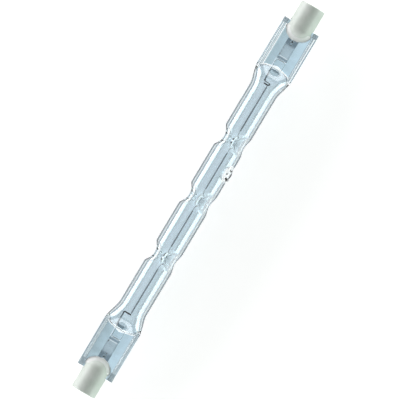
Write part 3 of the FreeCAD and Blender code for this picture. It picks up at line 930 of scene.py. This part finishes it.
# thick is half the thickness: 0.04 mm in all, and thinner at both ends. A faint ridge runs
# along the foil beside its middle.
for side, end in ENDS:
    foil_rings = []
    for step in range(FOIL_STEPS + 1):
        x = FOIL_START + FOIL_LENGTH * step / FOIL_STEPS
        rim = min(step, FOIL_STEPS - step, 2) / 2
        thick = 0.006 + 0.014 * rim
        ridge = 0.02 * rim + 0.002
        upper = ((1.3, thick), (0.7, ridge), (0.0, thick), (-0.7, thick), (-1.3, thick))
        lower = ((-1.3, -thick), (-0.7, -thick), (0.0, -thick), (0.7, -thick), (1.3, -thick))
        section = ((FOIL_HALF, 0.0), *upper, (-FOIL_HALF, 0.0), *lower)
        foil_rings.append([(side * x, side * y, z) for y, z in section])
    foil = closed_skin(f"foil_{end}", foil_rings, (molybdenum,))
    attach(foil, "root")
    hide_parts(f"seal_foil_{end}")

# Outer leads
# Molybdenum rod, 0.7 mm across, welded on the foil and led out of the pinch to the back of
# the contact in the cap.

ROD_START = 47.7
ROD_LENGTH = 8.78
ROD_RADIUS = 0.345

# Drawn molybdenum: grey, painted with bright and dark rings half a millimetre apart, as
# painted highlights and painted shade along the rod.
rod_metal = finish("drawn_molybdenum")
place = node(rod_metal, "ShaderNodeTexCoord")
glint_and_shade_rings = node(
    rod_metal, "ShaderNodeTexWave", {"Scale": 320.0, "Distortion": 1.5, "Detail": 1.0},
    {"Vector": place.outputs["Object"]},
)
shade = node(
    rod_metal, "ShaderNodeValToRGB", {"stops": ((0.35, "#23292d"), (0.6, "#e8ecee"))},
    {"Fac": glint_and_shade_rings.outputs["Fac"]},
)
metal = node(
    rod_metal, "ShaderNodeBsdfPrincipled", {"Metallic": 1.0, "Roughness": 0.3},
    {"Base Color": shade.outputs["Color"]},
)
node(rod_metal, "ShaderNodeOutputMaterial", {}, {"Surface": metal.outputs["BSDF"]})

for side, end in ENDS:
    points = [
        (side * (ROD_START + ROD_LENGTH * step / 40), 0.0, ROD_LIFT) for step in range(41)
    ]
    rod = wire(f"outer_lead_rod_{end}", points, ROD_RADIUS, sides=24, materials=(rod_metal,))
    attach(rod, "root")
    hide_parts(f"outer_lead_{end}")

# Ceramic caps
# Dry-pressed steatite, fired white and left unglazed: domed at the pinch and slotted over
# it, with a recess for the contact in the outer face. Cement holds the cap on the pinch.

CAP_RADIUS = 3.5
CAP_EDGE = 0.3
CAP_LENGTH = 10.0
FACE = 59.0
DOME_RADIUS = 3.53125
DOME_CENTRE = FACE - CAP_LENGTH + DOME_RADIUS
DOME_STEPS = 24
DOME_OVERTURN = 0.131
BARREL_START = 53.05
BARREL_LENGTH = 5.65
ROD_HOLE = 0.76
HOLE_START = 49.2
DOME_START = 0.82
RECESS_RADIUS = 2.1
RECESS_FLOOR = 57.1
SEAT_RADIUS = 1.85
SEAT_FLOOR = 56.5
SLOT_START = 48.5
SLOT_END = 53.2
SLOT_HALF = 1.2
SLOT_REACH = 5.0


def rounded(x, radius, size):
    """The quarter-round of a profile's outer edge, centred on (x, radius)."""
    turns = [math.pi / 2 * step / 6 for step in range(1, 7)]
    return [(x + size * math.sin(turn), radius + size * math.cos(turn)) for turn in turns]


def turned(name, profile, steps, side, material):
    """A closed form turned about the axis from (x, radius) points in millimetres."""
    rings = [
        [
            (
                side * x,
                side * radius * math.cos(2 * math.pi * step / steps),
                radius * math.sin(2 * math.pi * step / steps),
            )
            for step in range(steps)
        ]
        for x, radius in profile
    ]
    return closed_skin(name, rings, (material,))


# Fired steatite: slightly greenish off-white, matt, with a fine pressed grain of about
# 0.2 mm and soft cloudy patches of about 2.5 mm.
steatite = finish("fired_steatite")
place = node(steatite, "ShaderNodeTexCoord")
clouds = node(
    steatite, "ShaderNodeTexNoise", {"Scale": 400.0, "Detail": 3.0},
    {"Vector": place.outputs["Object"]},
)
grit = node(
    steatite, "ShaderNodeTexNoise", {"Scale": 5000.0, "Detail": 2.0},
    {"Vector": place.outputs["Object"]},
)
shade = node(
    steatite, "ShaderNodeValToRGB", {"stops": ((0.3, "#d4ddd5"), (0.7, "#e2e8e3"))},
    {"Fac": clouds.outputs["Fac"]},
)
relief = node(
    steatite, "ShaderNodeBump", {"Strength": 0.15, "Distance": 0.0001},
    {"Height": grit.outputs["Fac"]},
)
ceramic = node(
    steatite, "ShaderNodeBsdfPrincipled", {"Roughness": 0.4, "Specular IOR Level": 0.5},
    {"Base Color": shade.outputs["Color"], "Normal": relief.outputs["Normal"]},
)
node(steatite, "ShaderNodeOutputMaterial", {}, {"Surface": ceramic.outputs["BSDF"]})

# Each profile runs from the seat along the hole for the rod, over the dome, the barrel and
# its edge, and down the recess to the seat. The slot is cut out of the turned form.
for side, end in ENDS:
    profile = [(SEAT_FLOOR, ROD_HOLE), (HOLE_START, ROD_HOLE)]
    for step in range(DOME_STEPS + 1):
        turn = math.pi - math.asin(DOME_START / DOME_RADIUS)
        turn += (math.pi / 2 + DOME_OVERTURN - turn) * step / DOME_STEPS
        profile.append(
            (DOME_CENTRE + DOME_RADIUS * math.cos(turn), DOME_RADIUS * math.sin(turn))
        )
    profile += [(BARREL_START + BARREL_LENGTH * step / 12, CAP_RADIUS) for step in range(13)]
    profile += rounded(FACE - CAP_EDGE, CAP_RADIUS - CAP_EDGE, CAP_EDGE)
    profile += [
        (FACE, 2.24), (FACE - 0.04, 2.14), (FACE - 0.14, RECESS_RADIUS),
        (RECESS_FLOOR + 0.05, RECESS_RADIUS), (RECESS_FLOOR, 2.06), (RECESS_FLOOR, 1.87),
        (57.08, SEAT_RADIUS), (SEAT_FLOOR, SEAT_RADIUS),
    ]
    cap = turned(f"cap_{end}", profile, 96, side, steatite)

    cutter_mesh = bpy.data.meshes.new("slot")
    low, high = sorted((side * SLOT_START / 1000, side * SLOT_END / 1000))
    reach = SLOT_REACH / 1000
    bottom = (AXIS_HEIGHT - SLOT_HALF) / 1000
    top = (AXIS_HEIGHT + SLOT_HALF) / 1000
    corners = [
        (x, y, z) for x in (low, high) for y in (-reach, reach) for z in (bottom, top)
    ]
    quads = [(0, 1, 3, 2), (4, 6, 7, 5), (0, 4, 5, 1), (2, 3, 7, 6), (0, 2, 6, 4), (1, 5, 7, 3)]
    cutter_mesh.from_pydata(corners, [], quads)
    cutter = bpy.data.objects.new("slot", cutter_mesh)
    bpy.context.scene.collection.objects.link(cutter)
    slotted = cap.modifiers.new("slot", "BOOLEAN")
    slotted.operation = "DIFFERENCE"
    slotted.object = cutter
    bpy.context.view_layer.update()
    whole = bpy.data.meshes.new_from_object(
        cap.evaluated_get(bpy.context.evaluated_depsgraph_get())
    )
    cap.modifiers.clear()
    cap.data = whole
    bpy.data.objects.remove(cutter)

    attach(cap, "root")
    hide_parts(f"ceramic_cap_{end}")

# Contacts
# Turned nickel buttons at the bottom of each recess, welded to the end of the outer lead.
# Their edges are rounded and their faces slightly crowned.

BUTTON_RADIUS = 1.8
BUTTON_EDGE = 0.13
BUTTON_SHOULDER = 56.95
CROWN = 0.02

# Turned nickel: warm silver, with fine turning rings 0.16 mm apart.
nickel = finish("turned_nickel")
place = node(nickel, "ShaderNodeTexCoord")
axes = node(nickel, "ShaderNodeSeparateXYZ", {}, {"Vector": place.outputs["Object"]})
above_axis = node(
    nickel, "ShaderNodeMath", {"operation": "SUBTRACT", 1: AXIS_HEIGHT / 1000},
    {0: axes.outputs["Z"]},
)
in_face = node(
    nickel, "ShaderNodeCombineXYZ", {},
    {"Y": axes.outputs["Y"], "Z": above_axis.outputs["Value"]},
)
away = node(
    nickel, "ShaderNodeVectorMath", {"operation": "LENGTH"}, {0: in_face.outputs["Vector"]}
)
turning = node(
    nickel, "ShaderNodeMath", {"operation": "MULTIPLY", 1: 40000.0}, {0: away.outputs["Value"]}
)
groove = node(nickel, "ShaderNodeMath", {"operation": "SINE"}, {0: turning.outputs["Value"]})
relief = node(
    nickel, "ShaderNodeBump", {"Strength": 0.2, "Distance": 0.00005},
    {"Height": groove.outputs["Value"]},
)
metal = node(
    nickel, "ShaderNodeBsdfPrincipled",
    {"Base Color": linear("#c3bfb6"), "Metallic": 1.0, "Roughness": 0.3},
    {"Normal": relief.outputs["Normal"]},
)
node(nickel, "ShaderNodeOutputMaterial", {}, {"Surface": metal.outputs["BSDF"]})

for side, end in ENDS:
    profile = [(SEAT_FLOOR, BUTTON_RADIUS), (BUTTON_SHOULDER, BUTTON_RADIUS)]
    profile += rounded(BUTTON_SHOULDER, BUTTON_RADIUS - BUTTON_EDGE, BUTTON_EDGE)
    top = BUTTON_SHOULDER + BUTTON_EDGE
    profile += [
        (top + CROWN * math.sin(math.pi / 2 * step / 6), 1.65 - 1.6 * step / 6)
        for step in range(1, 7)
    ]
    button = turned(f"contact_button_{end}", profile, 64, side, nickel)
    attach(button, "root")
    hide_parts(f"contact_{end}")

# Cement
# Refractory cement, brushed into the slot of the cap round the pinch and fired hard. The
# filling is hidden in the slot, and a bead of it stands round the dome on both faces.

BEAD_FROM = 96
BEAD_SWEEP = 168
BEAD_STEPS = 72

# Fired cement: white water-glass cement with grains of about 0.3 mm. It is whiter than the
# cap and stands round the dome as a bright collar.
cement = finish("fired_cement")
place = node(cement, "ShaderNodeTexCoord")
grains = node(
    cement, "ShaderNodeTexVoronoi", {"Scale": 3300.0}, {"Vector": place.outputs["Object"]}
)
shade = node(
    cement, "ShaderNodeValToRGB", {"stops": ((0.0, "#fbfcfb"), (1.0, "#eef1f0"))},
    {"Fac": grains.outputs["Distance"]},
)
relief = node(
    cement, "ShaderNodeBump", {"Strength": 0.15, "Distance": 0.0001},
    {"Height": grains.outputs["Distance"]},
)
paste = node(
    cement, "ShaderNodeBsdfPrincipled", {"Roughness": 0.7},
    {"Base Color": shade.outputs["Color"], "Normal": relief.outputs["Normal"]},
)
node(cement, "ShaderNodeOutputMaterial", {}, {"Surface": paste.outputs["BSDF"]})


def bead_section(turn, end_in, side):
    """The bead's section at a turn round the dome, as (radius, height) points.

    end_in is 0 at the bead's ends and 1 along it. Its outer edge is wavy from the brush.
    """
    wave = 0.06 * math.sin(5 * turn) + 0.04 * math.sin(13 * turn + side)
    reach = (0.55 + wave) * end_in + 0.02
    return (
        (2.5, 0.98), (2.62, 1.0 + 1.26 * end_in), (2.9, 1.0 + 1.07 * end_in),
        (3.2, 1.0 + 0.66 * end_in), (3.38 + 0.3 * reach, 1.0 + 0.32 * end_in),
        (3.38 + 0.75 * reach, 1.0 + 0.1 * end_in), (3.38 + reach, 0.995), (3.38, 0.98),
    )


for side, end in ENDS:
    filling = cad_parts[f"cap_cement_{end}"]
    filling.data.materials.clear()
    filling.data.materials.append(cement)
    for face, up in (("top", 1), ("bottom", -1)):
        bead_rings = []
        for step in range(BEAD_STEPS + 1):
            turn = math.radians(BEAD_FROM + BEAD_SWEEP * step / BEAD_STEPS)
            end_in = min(step, BEAD_STEPS - step, 6) / 6
            bead_rings.append([
                (
                    side * (DOME_CENTRE + radius * math.cos(turn)),
                    side * up * radius * math.sin(turn),
                    up * height,
                )
                for radius, height in bead_section(turn, end_in, side)
            ])
        bead = closed_skin(f"cement_bead_{end}_{face}", bead_rings, (cement,))
        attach(bead, "root")

# Floor, light and camera
# A white sheet under the lamp, a low softbox along each side and past each end of it, and a
# camera that looks straight down, with the lamp running from the lower left to the upper
# right. Sizes are in metres here.

SHEET_HALF = 3.0
SHEET_LEVEL = -0.00005
SOFTBOX_HEIGHT = 0.075
SOFTBOX_DEPTH = 0.14

sheet_mesh = bpy.data.meshes.new("floor")
sheet_mesh.from_pydata(
    [
        (-SHEET_HALF, -SHEET_HALF, SHEET_LEVEL), (SHEET_HALF, -SHEET_HALF, SHEET_LEVEL),
        (SHEET_HALF, SHEET_HALF, SHEET_LEVEL), (-SHEET_HALF, SHEET_HALF, SHEET_LEVEL),
    ],
    [], [(0, 1, 2, 3)],
)
floor = bpy.data.objects.new("floor", sheet_mesh)
bpy.context.scene.collection.objects.link(floor)

# White paper: it glows for the rays that see it directly, in the glass or in the metal, so
# that it looks white there. The glow is weaker round the lamp, where the softboxes light it.
paper = finish("white_paper")
rays = node(paper, "ShaderNodeLightPath")
seen = node(
    paper, "ShaderNodeMath", {"operation": "MAXIMUM"},
    {0: rays.outputs["Is Camera Ray"], 1: rays.outputs["Is Glossy Ray"]},
)
seen = node(
    paper, "ShaderNodeMath", {"operation": "MAXIMUM"},
    {0: seen.outputs["Value"], 1: rays.outputs["Is Transmission Ray"]},
)
place = node(paper, "ShaderNodeTexCoord")
away = node(
    paper, "ShaderNodeVectorMath", {"operation": "LENGTH"}, {0: place.outputs["Object"]}
)
even = node(
    paper, "ShaderNodeMapRange",
    {"From Min": 0.2, "From Max": 0.45, "To Min": 0.64, "To Max": 1.0},
    {"Value": away.outputs["Value"]},
)
glow = node(
    paper, "ShaderNodeMath", {"operation": "MULTIPLY"},
    {0: seen.outputs["Value"], 1: even.outputs["Result"]},
)
matt = node(paper, "ShaderNodeBsdfDiffuse", {"Color": linear("#f4f4f4")})
light = node(paper, "ShaderNodeEmission", {}, {"Strength": glow.outputs["Value"]})
both = node(
    paper, "ShaderNodeAddShader", {}, {0: matt.outputs["BSDF"], 1: light.outputs["Emission"]}
)
node(paper, "ShaderNodeOutputMaterial", {}, {"Surface": both.outputs["Shader"]})
sheet_mesh.materials.append(paper)

# The softboxes past the ends of the lamp light the caps and aren't seen through the glass.
for name, x, y, length, radiance, shade in (
    ("upper", 0.0, 0.4, 1.0, 5.9, "#ffffff"), ("lower", 0.0, -0.4, 1.0, 4.0, "#f0fff5"),
    ("left", -0.4, 0.0, 0.3, 6.5, "#ffffff"), ("right", 0.4, 0.0, 0.3, 6.5, "#ffffff"),
):
    lamp = bpy.data.lights.new(f"softbox_{name}", "AREA")
    lamp.shape = "RECTANGLE"
    lamp.color = linear(shade)[:3]
    lamp.size = length
    lamp.size_y = SOFTBOX_DEPTH
    lamp.energy = radiance * math.pi * lamp.size * lamp.size_y
    box = bpy.data.objects.new(f"softbox_{name}", lamp)
    bpy.context.scene.collection.objects.link(box)
    box.location = (x, y, SOFTBOX_HEIGHT)
    aim = Vector((0, 0, AXIS_HEIGHT / 1000)) - box.location
    box.rotation_euler = aim.to_track_quat("-Z", "Y").to_euler()
    box.visible_transmission = y != 0.0

# The studio round it: white where it is seen, and a faint even light elsewhere.
world = bpy.data.worlds.new("studio")
bpy.context.scene.world = world
world.use_nodes = True
world.node_tree.nodes.clear()
rays = node(world, "ShaderNodeLightPath")
seen = node(
    world, "ShaderNodeMath", {"operation": "MAXIMUM"},
    {0: rays.outputs["Is Camera Ray"], 1: rays.outputs["Is Glossy Ray"]},
)
seen = node(
    world, "ShaderNodeMath", {"operation": "MAXIMUM"},
    {0: seen.outputs["Value"], 1: rays.outputs["Is Transmission Ray"]},
)
strength = node(
    world, "ShaderNodeMix", {"data_type": "FLOAT", "A": 0.064, "B": 1.0},
    {"Factor": seen.outputs["Value"]},
)
sky = node(
    world, "ShaderNodeBackground", {"Color": linear("#ffffff")},
    {"Strength": strength.outputs["Result"]},
)
node(world, "ShaderNodeOutputWorld", {}, {"Surface": sky.outputs["Background"]})

camera_data = bpy.data.cameras.new("camera")
camera_data.lens = 514.0
camera_data.sensor_width = 36.0
camera_data.clip_end = 20.0
camera = bpy.data.objects.new("camera", camera_data)
bpy.context.scene.collection.objects.link(camera)
camera.location = (0.0001, -0.00048, 1.504)
camera.rotation_euler = (0.0, 0.0, math.radians(-59.12))
bpy.context.scene.camera = camera
bpy.context.scene.view_settings.view_transform = "Standard"
